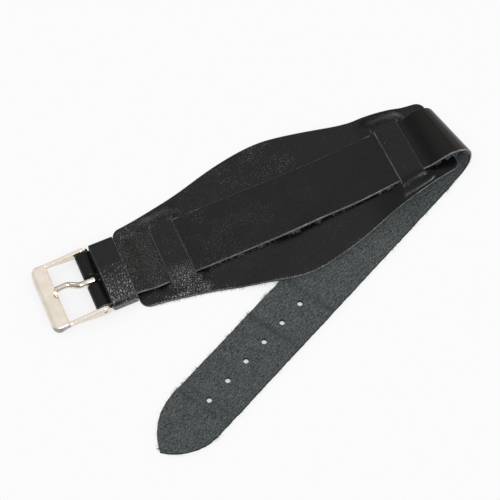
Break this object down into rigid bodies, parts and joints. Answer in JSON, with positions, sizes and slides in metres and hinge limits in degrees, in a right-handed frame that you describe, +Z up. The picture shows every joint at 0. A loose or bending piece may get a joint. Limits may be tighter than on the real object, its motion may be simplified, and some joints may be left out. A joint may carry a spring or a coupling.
{
  "type": "leather cuff watch strap",
  "caption": "Black leather watch strap threaded through a wide cuff pad, with a keeper and a pin buckle on a spring bar.",
  "frame": {"origin": "centre of the cuff pad's underside, on the table", "axes": "+X along the strap from the buckle to the fold, +Y across it to the far side, +Z up through the leather"},
  "size_m": [0.133, 0.0802, 0.0135],
  "materials": {
    "pad_leather": "grained, semi-gloss",
    "strap_leather": "fine grain above, suede flesh side",
    "keeper_leather": "coarse grain, semi-gloss",
    "thread": "waxed thread",
    "buckle_metal": "satin",
    "tongue_metal": "polished",
    "bar_steel": "turned",
    "staple_steel": "plain wire",
    "spring_steel": "spring wire"
  },
  "bodies": {
    "strap_body": {"strap": "strap_leather", "cuff_pad": "pad_leather", "turned_end_thread": "thread", "bar_tube": "bar_steel", "bar_spring": "spring_steel"},
    "keeper": {"keeper_loop": "keeper_leather", "keeper_staple": "staple_steel"},
    "buckle": {"buckle_frame": "buckle_metal"},
    "tongue": {"buckle_tongue": "tongue_metal"},
    "plunger_near": {"bar_pin_near": "bar_steel"},
    "plunger_far": {"bar_pin_far": "bar_steel"}
  },
  "joints": [
    {"name": "buckle_hinge", "type": "hinge", "parent": "strap_body", "child": "buckle", "pos_m": [-0.0612, 0, 0.00255], "axis": [0, 1, 0], "range_deg": [-100, 45]},
    {"name": "tongue_hinge", "type": "hinge", "parent": "buckle", "child": "tongue", "pos_m": [-0.0612, 0, 0.00255], "axis": [0, 1, 0], "range_deg": [0, 50]},
    {"name": "keeper_slide", "type": "slide", "parent": "strap_body", "child": "keeper", "axis": [1, 0, 0], "range_m": [-0.0003, 0.0002]},
    {"name": "plunger_near_slide", "type": "slide", "parent": "strap_body", "child": "plunger_near", "axis": [0, 1, 0], "range_m": [0, 0.0011], "stiffness_N_per_m": 500, "springref_m": -0.0006},
    {"name": "plunger_far_slide", "type": "slide", "parent": "strap_body", "child": "plunger_far", "axis": [0, -1, 0], "range_m": [0, 0.0011], "stiffness_N_per_m": 500, "springref_m": -0.0006, "deforming": ["bar_spring"]}
  ]
}
